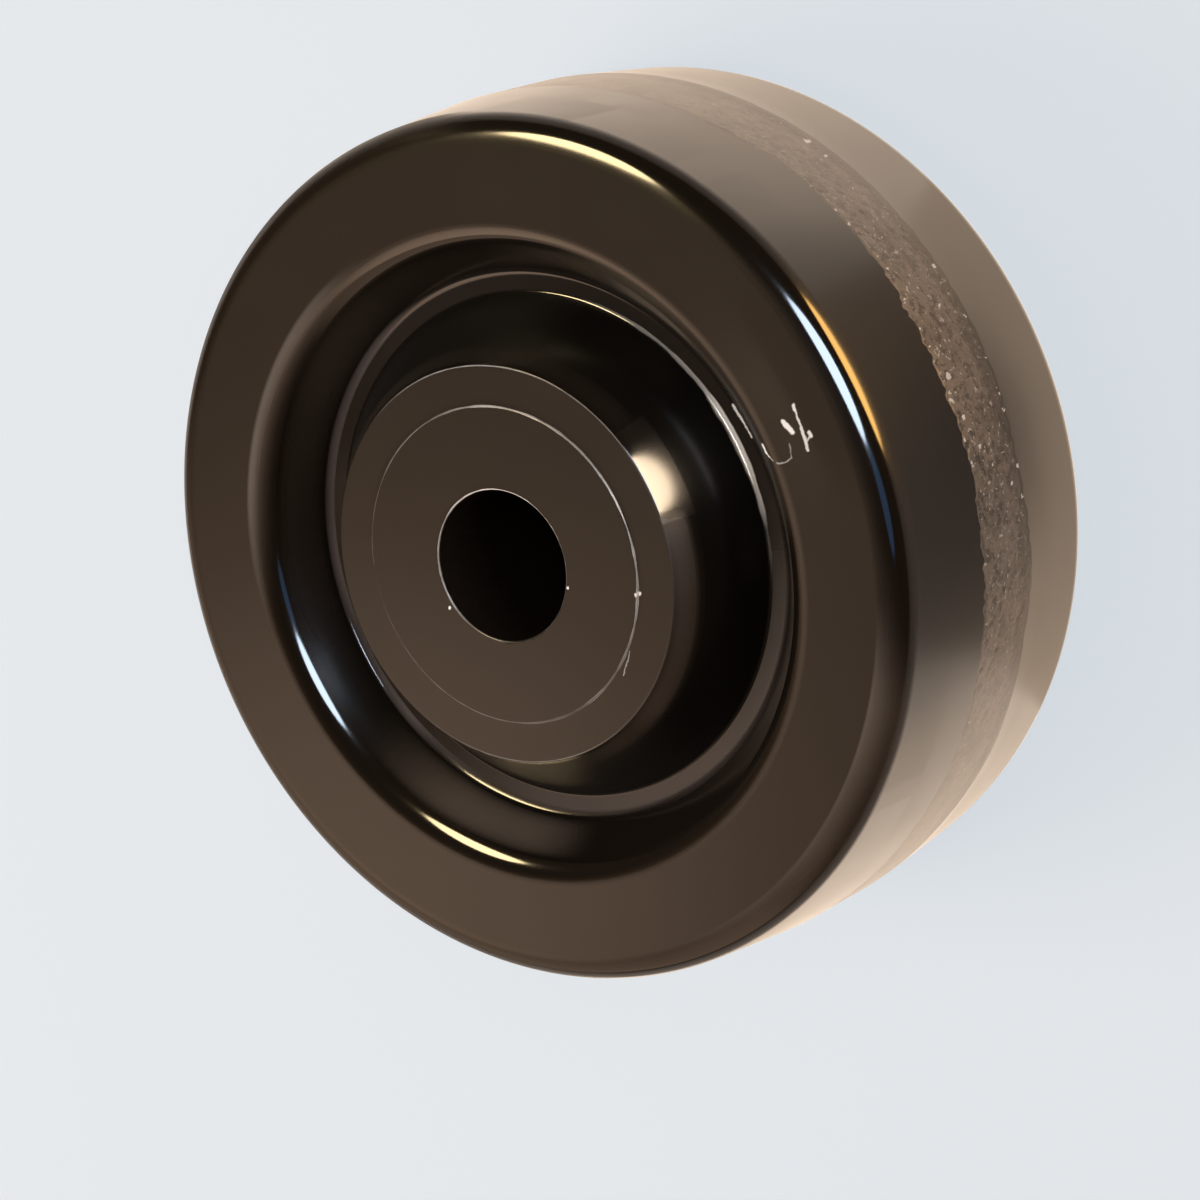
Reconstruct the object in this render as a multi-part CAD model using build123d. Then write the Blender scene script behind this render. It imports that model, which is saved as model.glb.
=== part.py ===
from build123d import *
import math
import os

# Phenolic castor wheel, one compression-moulded piece with a plain drilled bore.
# Millimetres. The wheel's axle line is +Z and the origin is the wheel's centre, half way through its width.
# It stands on the end of its hub.
os.makedirs("parts", exist_ok=True)

# Overall sizes
wheel_diameter = 152.4
rim_width = 62.0
hub_length = 71.0
bore_diameter = 25.8

# Tread: a ground parting band in the middle, a drafted half on each side of it
band_width = 15.4
tread_draft = 4.75
rim_corner_radius = 5.2

# Hub, a flat face with a raised spot around the bore and a conical flank down to the web
hub_face_diameter = 68.0
hub_flank_angle = 34.0
hub_foot_fillet = 0.8
hub_edge_radius = 0.3
spot_diameter = 54.4
spot_height = 0.4
spot_edge_chamfer = 0.3
bore_chamfer = 0.3

# Dish in each side, from the foot of the hub out to the rim
web_height = 20.8
web_ring_width = 3.7
web_outer_fillet = 2.0
dish_wall_angle = 35.0
dish_corner_radius = 5.2


def run(rise, degrees_from_axis):
    """Sideways travel of a sloping wall over a rise along the axle."""
    return rise * math.tan(math.radians(degrees_from_axis))


# Heights above the middle plane
hub_top = hub_length / 2
hub_shoulder = hub_top - spot_height
rim_face = rim_width / 2
band_edge = band_width / 2

# Radii, each step of the dish taken from the one inside it
bore_radius = bore_diameter / 2
spot_radius = spot_diameter / 2
hub_radius = hub_face_diameter / 2
hub_foot_radius = hub_radius + run(hub_shoulder - web_height, hub_flank_angle)
web_outer_radius = hub_foot_radius + web_ring_width
dish_mouth_radius = web_outer_radius + run(rim_face - web_height, dish_wall_angle)
tread_radius = wheel_diameter / 2
tread_corner_radius = tread_radius - run(rim_face - band_edge, tread_draft)

# Corners of the upper half section, as radius, height and corner radius; zero leaves the corner sharp
upper_corners = [
    (bore_radius + bore_chamfer, hub_top, 0.0),
    (spot_radius - spot_edge_chamfer, hub_top, 0.0),
    (spot_radius, hub_shoulder, 0.0),
    (hub_radius, hub_shoulder, hub_edge_radius),
    (hub_foot_radius, web_height, hub_foot_fillet),
    (web_outer_radius, web_height, web_outer_fillet),
    (dish_mouth_radius, rim_face, dish_corner_radius),
    (tread_corner_radius, rim_face, rim_corner_radius),
    (tread_radius, band_edge, 0.0),
]
bore_corner = (bore_radius, hub_top - bore_chamfer)

# The lower half mirrors the upper one
corner_points = [bore_corner]
rounded = []
for radius, height, corner in upper_corners:
    corner_points.append((radius, height))
    if corner > 0:
        rounded.append((radius, height, corner))
mirrored_points = [(radius, -height) for radius, height in reversed(corner_points)]
mirrored_rounded = [(radius, -height, corner) for radius, height, corner in rounded]
section_points = corner_points + mirrored_points

with BuildPart() as wheel:
    with BuildSketch(Plane.XZ) as section:
        with BuildLine():
            Polyline(*section_points, close=True)
        make_face()
        for radius, height, corner in rounded + mirrored_rounded:
            corner_place = Vector(radius, height, 0)
            nearest = min(section.vertices(), key=lambda v: (Vector(v.X, v.Y, 0) - corner_place).length)
            fillet(nearest, radius=corner)
    revolve(axis=Axis.Z, revolution_arc=360)

phenolic_wheel = wheel.part
phenolic_wheel.label = "phenolic_wheel"
export_step(phenolic_wheel, "parts/phenolic_wheel.step")
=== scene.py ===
import math
from collections import namedtuple

import bpy
import numpy as np
from mathutils import Matrix, Quaternion, Vector, noise

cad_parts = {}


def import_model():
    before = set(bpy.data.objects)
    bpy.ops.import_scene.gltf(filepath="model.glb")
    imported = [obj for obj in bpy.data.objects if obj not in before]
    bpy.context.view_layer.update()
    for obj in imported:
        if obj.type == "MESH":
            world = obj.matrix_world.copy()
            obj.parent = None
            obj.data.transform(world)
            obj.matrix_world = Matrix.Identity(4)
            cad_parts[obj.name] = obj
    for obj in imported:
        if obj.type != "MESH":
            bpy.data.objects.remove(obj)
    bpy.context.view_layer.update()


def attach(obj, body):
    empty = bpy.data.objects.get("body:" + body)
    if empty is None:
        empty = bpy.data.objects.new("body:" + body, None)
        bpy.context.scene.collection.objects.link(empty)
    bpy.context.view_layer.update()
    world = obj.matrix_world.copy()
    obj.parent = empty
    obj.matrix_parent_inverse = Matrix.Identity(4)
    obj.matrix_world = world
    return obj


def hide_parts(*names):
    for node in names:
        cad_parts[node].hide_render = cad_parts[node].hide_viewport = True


# The phenolic wheel's looks. The section is worked in millimetres and made in metres.
# The axle line is +Z, the origin is the wheel's centre, and the wheel stands on its hub's end.
# A curve around the wheel is a list of azimuths in degrees, each with its value.
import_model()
MM = 0.001

# Section of the wheel, the same sizes as the solid has
WHEEL_RADIUS = 76.2
HUB_TOP = 35.5
RIM_FACE = 31.0
BORE_RADIUS = 12.9
BAND_EDGE = 7.7
TREAD_DRAFT = 4.75
RIM_CORNER_RADIUS = 5.2
HUB_RADIUS = 34.0
HUB_FLANK_ANGLE = 34.0
HUB_FOOT_FILLET = 0.8
HUB_EDGE_RADIUS = 0.3
SPOT_RADIUS = 27.2
SPOT_HEIGHT = 0.4
SPOT_CHAMFER = 0.3
BORE_CHAMFER = 0.3
WEB_HEIGHT = 20.8
WEB_RING_WIDTH = 3.7
WEB_FILLET = 2.0
DISH_WALL_ANGLE = 35.0
DISH_CORNER_RADIUS = 5.2
HUB_SHOULDER = HUB_TOP - SPOT_HEIGHT

# Fineness of the mesh: columns around the wheel, the ground band's columns to each of them, and its rows
COLUMNS = 384
BAND_SPLIT = 3
BAND_ROWS = 28
# The rear half's share of the front's rows, and how far rows crowd to the ends of some runs
REAR_DETAIL = 0.35
ROW_CROWDING = 0.6
# Heights and parts of normals this close count as the same
TOLERANCE = 0.001

# Roughness of the moulded skin
GLOSS_ROUGHNESS = 0.1
SATIN_ROUGHNESS = 0.37
TREAD_ROUGHNESS = 0.32
REAR_ROUGHNESS = 0.36
BREAK_ROUGHNESS = 0.3
BORE_END_ROUGHNESS = 0.5
REAR_FLANK_ROUGHNESS = 0.3
LEAST_RING_ROUGHNESS = 0.16
LEAST_WALL_ROUGHNESS = 0.13
# How satin the ring at the bottom of the dish and the dish's wall are
RING_SATIN = 0.2
WALL_SATIN = 0.3
# How far the satin of a face runs into a rounding beside it, as a share of the rounding
SATIN_REACH = 0.5

# The rounding between the rim's face and the dish: how far down the satin runs, and how pale it is
DISH_EDGE_REACH = [
    (-165, 0.65), (-145, 0.5), (-100, 0.5), (-62, 0.8), (-20, 0.95), (40, 0.85), (75, 0.6), (105, 0.7),
    (135, 1.0), (170, 1.0),
]
DISH_EDGE_PALENESS = [(-168, 0.0), (112, 0.0), (138, 0.55), (162, 0.55)]
# The rounding between the rim's face and the tread: the same, and how dull it is
RIM_EDGE_REACH = [(-75, 0.5), (-55, 0.9), (-42, 1.3), (-22, 1.4), (-8, 0.8), (4, 0.5)]
RIM_EDGE_PALENESS = [(-78, 0.0), (-55, 0.25), (-40, 0.4), (-22, 0.65), (-4, 0.0)]
RIM_EDGE_ROUGHNESS = [(-100, 0.65), (-72, 0.0), (80, 0.0), (98, 0.65)]
# The dish's wall: how dull and how pale it is; its palest patch, around -118 to -104 degrees, is a painted
# glow of reflected light
WALL_ROUGHNESS = [(-5, 0.0), (10, 0.7), (58, 0.7), (80, 0.2), (110, 0.0)]
WALL_PALENESS_AND_GLOW = [
    (-178, 0.2), (-145, 0.05), (-118, 1.0), (-104, 0.8), (-85, 0.0), (-15, 0.0), (-2, 0.5), (8, 0.0),
    (40, 0.0), (48, 0.5), (56, 0.4), (66, 0.0),
]
# The hollow at the foot of the wall: its painted highlight, a pale grey-violet line where it catches the
# light
WEB_FILLET_PAINTED_HIGHLIGHT = [
    (-176, 0.8), (-160, 0.5), (-142, 0.9), (-128, 0.3), (-110, 0.0), (-75, 0.0), (-60, 0.15), (-35, 0.15),
    (-18, 0.0), (60, 0.0), (112, 0.05), (138, 0.55), (170, 0.6),
]
# The ring at the bottom of the dish: how worn it is, and how rough it is where it isn't worn; where worn it
# is also painted paler, as painted light on its lit side
RING_WEAR_AND_LIGHT = [
    (-175, 0.0), (-130, 0.0), (-118, 0.2), (-98, 0.7), (-60, 0.85), (-25, 1.0), (-10, 1.0), (4, 0.6),
    (30, 0.4), (60, 0.2), (120, 0.3), (150, 0.1),
]
RING_ROUGHNESS = [(-180, 0.25), (-140, 0.25), (-110, 0.4), (-20, 0.3), (10, 0.14), (110, 0.14), (150, 0.16)]
# How pale the worn ring is painted: painted light on its lit side
RING_PAINTED_LIGHT = 0.17
# How far up the hollow beside it the ring's wear and its painted light fade out, in millimetres
RING_FADE = 0.6
# Degrees by which the ring leans up towards the rim, as if slightly hollow
RING_LEAN = [(-175, 9.0), (-128, 9.0), (-95, 4.0), (-60, 2.0), (-20, 0.0), (110, 0.0), (150, 4.0)]
# The hub's flank: how dull it is, and how far its worn top edge shows; the worn top is also painted paler
# as a brown glow of reflected light
FLANK_ROUGHNESS = [
    (-140, 0.6), (-70, 0.5), (-38, 0.22), (-5, 0.15), (42, 0.15), (62, 0.2), (85, 0.36), (150, 0.36),
]
FLANK_WEAR_AND_GLOW = [
    (-140, 0.2), (-75, 0.15), (-58, 0.4), (-42, 1.0), (9, 1.0), (17, 0.0), (33, 0.0), (44, 0.2), (80, 0.1),
    (120, 0.2),
]
# Depths below the hub's edge down to which the wear and its painted glow are full and at which they end
FLANK_WEAR_AND_GLOW_DEPTH = (2.6, 4.4)
# Paleness of the worn flank and of the hub's edge above it: a painted brown glow of reflected light
FLANK_PAINTED_GLOW = 0.45
FLANK_WORN_ROUGHNESS = 0.4
HUB_EDGE_PAINTED_GLOW = 0.225
HUB_EDGE_WORN_ROUGHNESS = 0.5
# The flank is glossiest along its top on the side nearest the camera: azimuths and depth. Elsewhere it has
# a less reflective copy of the skin, as painted shade
FLANK_GLOSS_SIDE = (11, 39)
FLANK_GLOSS_DEPTH = 5.0
# The front half of the tread is glossier and darker where it is closest to the camera, and duller and
# painted paler towards both sides, where the paleness is a painted sheen
FRONT_DULLNESS_AND_SHEEN = [(-22, 1.0), (-8, 0.35), (2, 0.0), (14, 0.0), (32, 0.7), (55, 1.0)]
FRONT_PAINTED_SHEEN = 0.2
REAR_PALENESS = 0.1

# The ground band: its wandering edges as heights in millimetres, and how rough it was left
BAND_FRONT_EDGE = [
    (-170, 7.7), (-120, 7.2), (-80, 7.4), (-45, 7.0), (-30, 6.7), (-22, 7.3), (-8, 7.7), (-2, 8.1),
    (4, 7.6), (11, 7.9), (18, 8.2), (26, 7.9), (36, 7.1), (50, 6.7), (61, 8.3), (90, 7.6), (140, 7.9),
]
BAND_REAR_EDGE = [
    (-160, -7.6), (-100, -8.1), (-60, -7.2), (-48, -7.3), (-35, -8.8), (-25, -8.0), (-17, -7.4), (-9, -8.3),
    (0, -7.3), (7, -6.9), (14, -7.6), (30, -7.9), (57, -8.4), (76, -8.5), (110, -7.8), (150, -8.2),
]
BAND_ROUGHNESS = [
    (-180, 0.3), (-150, 0.75), (-120, 0.4), (-75, 0.1), (-40, 0.12), (-22, 0.3), (-8, 0.75), (6, 1.0),
    (26, 1.0), (40, 0.6), (56, 0.35), (72, 0.1), (95, 0.1), (115, 0.6), (135, 0.9), (160, 0.5),
]
# How ragged its edges are at least, and how much more where it is rough
BAND_RAGGEDNESS = (0.1, 0.75)
# The last smooth ring stands this far in front of the band
BAND_LEAD = 0.18
# Over what height the roughness fades in from each edge, and how much is left towards the rear
BAND_FRONT_FADE = 0.5
BAND_REAR_FADE = 2.4
BAND_REAR_SHARE = 0.45
# How far it lies below the turned surface at least, and how deep its pits and its grain go
BAND_SKIM = 0.025
PIT_DEPTH = 0.4
PIT_THRESHOLD = 0.05
BAND_GRAIN_DEPTH = 0.08
# Its paleness, which turns into the rear tread's from this share of its width on
BAND_PALENESS = 0.9
BAND_BLEND_START = 0.7
# Pale flecks in the band: azimuth, height and radius
BAND_FLECKS = [
    (54.6, -5.8, 0.8), (51.3, -5.4, 0.5), (45.3, -2.9, 0.4), (37.6, 1.3, 0.35), (33.4, 5.8, 0.5),
    (31.7, -6.6, 0.5), (18.4, 5.4, 0.75), (13.0, 5.6, 0.5), (9.0, 3.4, 0.55), (4.9, -6.7, 0.5),
    (3.1, -3.8, 0.45), (1.0, -6.4, 0.5), (29.0, 6.6, 0.45), (22.5, 6.9, 0.4), (12.0, -6.8, 0.4),
    (7.5, 7.0, 0.5), (10.4, 7.2, 0.45), (15.6, 7.4, 0.5), (16.4, 7.1, 0.4), (20.6, 7.5, 0.4),
    (25.0, 7.1, 0.4), (40.5, 6.6, 0.45), (43.0, 6.4, 0.35), (47.5, 6.3, 0.4), (35.4, 5.9, 0.35),
    (14.0, -7.0, 0.4), (18.6, -7.1, 0.35), (24.5, -7.0, 0.35), (6.2, 1.0, 0.35), (26.8, -1.5, 0.3),
]
# Their shape: how much narrower than tall, how full in the middle, and how steeply they fade
FLECK_SLIMNESS = 1.3
FLECK_CORE = 1.6
FLECK_FADE = 1.4 / 1.35

# Smooth noise in the mesh: each layer's size in millimetres, seed and share
CHIP_PATTERN = [(0.9, 3.0, 1.0), (0.35, 5.0, 0.6)]
PIT_PATTERN = [(1.5, 1.0, 1.0), (0.8, 2.0, 0.5)]
BAND_GRAIN_PATTERN = [(0.7, 9.0, 1.0)]
NICK_PATTERN = [(1.6, 7.0, 1.0), (0.7, 6.0, 0.6)]
REAR_NICK_PATTERN = [(1.3, 8.0, 1.0)]
SEED_STEPS = (1.0, 2.7, 5.1)

# Chips along worn edges: what of the noise is cut off, and how far they reach into each edge
CHIP_THRESHOLD = 0.12
BORE_MOUTH_CHIP = 0.55
BORE_WALL_CHIP = 0.5
SPOT_RIM_CHIP = 0.45
# The spot face is chipped most at this azimuth, and this share of that all around
SPOT_CHIP_AZIMUTH = 40.0
SPOT_CHIP_LEAST = 0.35

# Pale scratches and chips in the skin, and one painted highlight: both ends as azimuth, radius and height,
# then width and strength
SCRATCHES = [
    ((21.4, 60.5, RIM_FACE), (19.5, 61.3, RIM_FACE), 0.62, 1.0),
    ((22.9, 63.7, RIM_FACE), (22.2, 63.5, RIM_FACE), 0.42, 0.9),
    ((22.2, 63.5, RIM_FACE), (19.6, 63.2, RIM_FACE), 0.28, 0.75),
    ((19.6, 63.2, RIM_FACE), (17.2, 62.9, RIM_FACE), 0.42, 0.8),
    ((17.2, 62.9, RIM_FACE), (16.2, 62.7, RIM_FACE), 0.4, 0.75),
    ((18.4, 64.2, RIM_FACE), (18.0, 64.3, RIM_FACE), 0.5, 0.9),
    ((18.0, 64.2, RIM_FACE), (17.5, 63.2, RIM_FACE), 0.3, 0.6),
    ((18.0, 59.9, RIM_FACE), (16.0, 59.3, RIM_FACE), 0.2, 0.2),
    ((16.0, 59.3, RIM_FACE), (15.6, 57.9, RIM_FACE), 0.2, 0.3),
    ((15.6, 57.9, RIM_FACE), (15.9, 56.3, 30.9), 0.2, 0.3),
    ((19.6, 54.6, 30.3), (18.2, 54.7, 30.3), 0.42, 1.0),
    ((18.2, 54.7, 30.3), (16.6, 55.6, 30.6), 0.25, 0.8),
    # These two are a painted highlight in the hollow at the foot of the dish's wall, not a scratch
    ((29.8, 46.6, WEB_HEIGHT), (26.0, 46.7, WEB_HEIGHT), 0.4, 1.0),
    ((26.0, 46.7, WEB_HEIGHT), (22.4, 46.8, WEB_HEIGHT), 0.28, 1.0),
    ((-10.6, 27.0, HUB_TOP), (-10.2, 27.3, 35.2), 0.5, 1.0),
    ((-149.6, 14.0, HUB_TOP), (-149.0, 14.1, HUB_TOP), 0.35, 1.0),
    ((-16.4, 13.5, HUB_TOP), (-16.0, 13.5, HUB_TOP), 0.3, 1.0),
    ((-32.0, 27.6, HUB_SHOULDER), (-41.0, 28.4, HUB_SHOULDER), 0.17, 0.28),
]
# How far the scratches stray, in millimetres, and the share of their width that is solid
SCRATCH_WOBBLE = 0.5
SCRATCH_CORE = 0.4

# Pale lines along the edges of the bore, the spot face, the hub and its foot: chipped edges, painted
# brightest where they catch the light as painted highlights, the foot's line mostly a painted highlight. The
# taper says how much thinner the line is where it is weaker, and the strength is a curve.
EdgeLine = namedtuple("EdgeLine", "radius half_width raggedness taper strength")
EDGE_LINES = {
    "bore": EdgeLine(13.08, 0.15, 0.15, 0.3, [
        (-175, 0.45), (-120, 0.2), (-80, 0.03), (-30, 0.06), (0, 0.25), (45, 0.7), (90, 1.0), (125, 0.8),
        (150, 0.5),
    ]),
    "spot": EdgeLine(27.1, 0.11, 0.17, -1.1, [
        (-160, 0.12), (-110, 0.12), (-70, 0.14), (-50, 0.3), (-15, 0.5), (10, 0.6), (50, 0.5), (85, 0.7),
        (110, 0.25), (150, 0.12),
    ]),
    "hub": EdgeLine(33.88, 0.12, 0.08, 0.0, [
        (-150, 0.0), (-80, 0.2), (-50, 0.05), (0, 0.0), (50, 0.2), (90, 0.35), (140, 0.0),
    ]),
    "foot": EdgeLine(43.85, 0.72, 0.25, 0.7, [
        (-12, 0.0), (2, 0.12), (11, 0.65), (18, 1.0), (29, 1.0), (40, 0.45), (52, 0.3), (62, 0.2), (74, 0.0),
    ]),
}
LINE_CORE = 0.5

# Photograph's camera: focal length over image width, the wheel's axle and its hub's end in the camera's axes
FOCAL_OVER_WIDTH = 4158.63 / 1200
AXLE_TO_REAR = (0.7105, -0.3012, 1.0)
HUB_END_CENTRE = (-16.41, -5.63, 691.60)
SENSOR_WIDTH = 36.0
CLIP_START = 0.01


# Helpers
def run(rise, degrees_from_axis):
    """Sideways travel of a sloping wall over a rise along the axle."""
    return rise * math.tan(math.radians(degrees_from_axis))


def on_circle(azimuth, radius, height):
    """A place from its azimuth in degrees, its radius and its height."""
    angle = math.radians(azimuth)
    return radius * math.cos(angle), radius * math.sin(angle), height


def eased(t):
    """From 0 to 1 with a soft start and end."""
    return t * t * (3 - 2 * t)


def eased_off(distance, reach):
    """From 1 at no distance down to 0 at the reach."""
    return 1.0 - eased(min(1.0, max(0.0, distance / reach)))


def mid_run(share):
    """One in the middle of a run and nothing at its ends."""
    return 1.0 - abs(2.0 * share - 1.0) ** 3


def signed(azimuth):
    """The same azimuth from -180 up to 180."""
    return (azimuth + 180.0) % 360.0 - 180.0


def azimuths(count):
    return [360.0 * k / count for k in range(count)]


def smooth_between(curve, azimuth):
    """Value of a curve at an azimuth."""
    azimuth = signed(azimuth)
    after = [knot for knot in curve if knot[0] > azimuth]
    before = [knot for knot in curve if knot[0] <= azimuth]
    a0, v0 = before[-1] if before else (curve[-1][0] - 360.0, curve[-1][1])
    a1, v1 = after[0] if after else (curve[0][0] + 360.0, curve[0][1])
    return v0 + (v1 - v0) * eased((azimuth - a0) / (a1 - a0))


def around_values(curve, share=1.0, count=COLUMNS):
    """A share of a curve's value for every column."""
    return [share * smooth_between(curve, azimuth) for azimuth in azimuths(count)]


def times(values, factor):
    return [factor * value for value in values]


def highest(*values):
    """The highest value for every column; a single number counts for all of them."""
    spread = [value if isinstance(value, list) else [value] * COLUMNS for value in values]
    return [max(column) for column in zip(*spread)]


def patchy(place, pattern):
    """Smooth noise at a place in millimetres; each layer of it runs from -1 to 1."""
    total = 0.0
    for size, seed, share in pattern:
        start = Vector([seed * step for step in SEED_STEPS])
        total += share * noise.noise(Vector(place) / size + start)
    return total


# Section
# One straight or rounded run of the section: its points, and each one's normal, satin and roughness
Stretch = namedtuple("Stretch", "name points normals satin rough material")


def straight(corner, start, end):
    """The straight run after a corner."""
    along = (end - start) / np.linalg.norm(end - start)
    normal = (-along[1], along[0])
    crowding = ROW_CROWDING if corner.name in CROWDED_RUNS else 0.0
    steps = np.linspace(0, 1, corner.rows + 1)
    steps = steps + (eased(steps) - steps) * crowding
    points = [tuple(start + (end - start) * s) for s in steps]
    satin, rough = [corner.satin] * len(points), [corner.rough] * len(points)
    return Stretch(corner.name, points, [normal] * len(points), satin, rough, corner.material)


def soften(stretch, first, last):
    """Turns a small edge break's normals evenly from the face before it to the face after it."""
    count = len(stretch.points)
    for k in range(count):
        t = k / (count - 1)
        mixed = np.array(first) * (1 - t) + np.array(last) * t
        stretch.normals[k] = tuple(mixed / np.linalg.norm(mixed))


def corner_ends(before, corner, after, radius):
    """Where a rounded corner starts and ends, and its centre."""
    before, corner, after = np.array(before), np.array(corner), np.array(after)
    first = (before - corner) / np.linalg.norm(before - corner)
    second = (after - corner) / np.linalg.norm(after - corner)
    angle = math.acos(float(first @ second))
    reach = radius / math.tan(angle / 2)
    middle = (first + second) / np.linalg.norm(first + second)
    return corner + first * reach, corner + second * reach, corner + middle * radius / math.sin(angle / 2)


def rounded(previous, corner, start, end, centre):
    """The rounding of a corner, glossy in its middle; its normals turn round in a hollow."""
    turn = -1 if corner.name in HOLLOW_CORNERS else 1
    first = math.atan2(*(start - centre)[::-1])
    last = math.atan2(*(end - centre)[::-1])
    sweep = (last - first + math.pi) % (2 * math.pi) - math.pi
    radius = np.linalg.norm(start - centre)
    points, normals, satin, rough = [], [], [], []
    for s in np.linspace(0, 1, corner.arc_rows + 1):
        angle = first + sweep * s
        out = np.array([math.cos(angle), math.sin(angle)])
        points.append(tuple(centre + out * radius))
        normals.append(tuple(out * turn))
        before, after = eased_off(s, SATIN_REACH), eased_off(1 - s, SATIN_REACH)
        satin.append(max(previous.satin * before, corner.satin * after))
        rough.append(max(previous.rough * before, corner.rough * after, GLOSS_ROUGHNESS))
    return Stretch(corner.name + "_corner", points, normals, satin, rough, GLOSS)


# The wheel's materials: glossy skin, a less reflective copy of it that darkens the flank as painted shade,
# the ground band and the drilled bore
GLOSS, SHADED_COPY, BAND, BORE = "moulded", "deep", "band", "bore"

# A corner of the section with the rows of its rounding, then the run after it
Corner = namedtuple("Corner", "name place radius arc_rows rows satin rough material")
HOLLOW_CORNERS = ("web_ring", "dish_wall")
CROWDED_RUNS = ("rim_face", "tread", "spot")
# Small edge breaks: the normals of the faces before and after them
SOFTENED = {"bore_edge": ((-1.0, 0.0), (0.0, 1.0)), "spot_edge": ((0.0, 1.0), (1.0, 0.0))}


def section_corners(detail):
    """The upper half's corners from the bore's middle to the band's edge."""
    foot_radius = HUB_RADIUS + run(HUB_SHOULDER - WEB_HEIGHT, HUB_FLANK_ANGLE)
    web_outer = foot_radius + WEB_RING_WIDTH
    mouth = web_outer + run(RIM_FACE - WEB_HEIGHT, DISH_WALL_ANGLE)
    tread_corner = WHEEL_RADIUS - run(RIM_FACE - BAND_EDGE, TREAD_DRAFT)
    gloss_end = (HUB_RADIUS + run(FLANK_GLOSS_DEPTH, HUB_FLANK_ANGLE), HUB_SHOULDER - FLANK_GLOSS_DEPTH)
    chamfer_foot = (BORE_RADIUS, HUB_TOP - BORE_CHAMFER)
    spot_start = (BORE_RADIUS + BORE_CHAMFER, HUB_TOP)
    hub_edge = (HUB_RADIUS, HUB_SHOULDER)

    def rows(count):
        return max(1, round(count * detail))

    return [
        Corner("bore", (BORE_RADIUS, 0.0), 0, 0, rows(3), 0.0, BORE_END_ROUGHNESS, BORE),
        Corner("bore_edge", chamfer_foot, 0, 0, 3, 1.0, BREAK_ROUGHNESS, GLOSS),
        Corner("spot", spot_start, 0, 0, rows(8), 1.0, SATIN_ROUGHNESS, GLOSS),
        Corner("spot_edge", (SPOT_RADIUS - SPOT_CHAMFER, HUB_TOP), 0, 0, 3, 1.0, BREAK_ROUGHNESS, GLOSS),
        Corner("shoulder", (SPOT_RADIUS, HUB_SHOULDER), 0, 0, rows(5), 1.0, SATIN_ROUGHNESS, GLOSS),
        Corner("flank", hub_edge, HUB_EDGE_RADIUS, 3, rows(5), 0.0, GLOSS_ROUGHNESS, GLOSS),
        Corner("flank_deep", gloss_end, 0, 0, rows(9), 0.0, REAR_FLANK_ROUGHNESS, SHADED_COPY),
        Corner("web_ring", (foot_radius, WEB_HEIGHT), HUB_FOOT_FILLET, rows(6), rows(3), RING_SATIN,
               LEAST_RING_ROUGHNESS, GLOSS),
        Corner("dish_wall", (web_outer, WEB_HEIGHT), WEB_FILLET, rows(8), rows(7), WALL_SATIN,
               LEAST_WALL_ROUGHNESS, GLOSS),
        Corner("rim_face", (mouth, RIM_FACE), DISH_CORNER_RADIUS, rows(16), rows(10), 1.0,
               SATIN_ROUGHNESS, GLOSS),
        Corner("tread", (tread_corner, RIM_FACE), RIM_CORNER_RADIUS, rows(18), rows(9), 1.0,
               TREAD_ROUGHNESS, GLOSS),
        Corner("end", (WHEEL_RADIUS, BAND_EDGE), 0, 0, 0, 0.0, BORE_END_ROUGHNESS, BAND),
    ]


def half_section(detail):
    """The upper half from the bore's middle to the band's edge, as a list of stretches."""
    corners = section_corners(detail)
    ends = []
    for k, corner in enumerate(corners):
        if corner.radius:
            ends.append(corner_ends(corners[k - 1].place, corner.place, corners[k + 1].place, corner.radius))
        else:
            ends.append((np.array(corner.place), np.array(corner.place), None))
    made = []
    for k, corner in enumerate(corners[:-1]):
        start, end, centre = ends[k]
        if corner.radius:
            made.append(rounded(corners[k - 1], corner, start, end, centre))
        made.append(straight(corner, end, ends[k + 1][0]))
        if corner.name in SOFTENED:
            soften(made[-1], *SOFTENED[corner.name])
    return made


def mirrored(stretches):
    """The lower half, from the band's edge back to the bore's middle."""
    made = []
    for s in reversed(stretches):
        points = [(r, -z) for r, z in reversed(s.points)]
        normals = [(r, -z) for r, z in reversed(s.normals)]
        made.append(Stretch(s.name + "_rear", points, normals, s.satin[::-1], s.rough[::-1], s.material))
    return made


# Finish around each ring of the section
def materials_around(stretch):
    """The material of every column of a stretch; the flank's top is glossy on one side only, and elsewhere
    the flank has a less reflective copy of the skin as painted shade.
    """
    if stretch.name not in ("flank_corner", "flank"):
        return [stretch.material] * COLUMNS
    first, last = FLANK_GLOSS_SIDE
    return [GLOSS if first < azimuth < last else SHADED_COPY for azimuth in azimuths(COLUMNS)]


# Which pale edge line runs beside the first and the second half of a stretch
LINES_BESIDE = {
    "bore_edge": ("bore", "bore"), "spot": ("bore", "spot"), "spot_edge": ("spot", "spot"),
    "shoulder": ("spot", "hub"), "flank_corner": ("hub", "hub"), "flank": ("hub", None),
    "flank_deep": (None, "foot"), "web_ring_corner": ("foot", "foot"), "web_ring": ("foot", "foot"),
}


def finish_rounding(values, from_face, reach, paleness, roughness):
    """A rounding beside the rim's face, at a share of it from the face."""
    dull = [eased_off(from_face, far) for far in around_values(reach)]
    rough = around_values(roughness, from_face)
    values["satin"] = highest(values["satin"], dull)
    values["rough"] = highest(values["rough"], times(dull, SATIN_ROUGHNESS), rough)
    values["pale"] = [d * p for d, p in zip(dull, around_values(paleness))]


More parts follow.
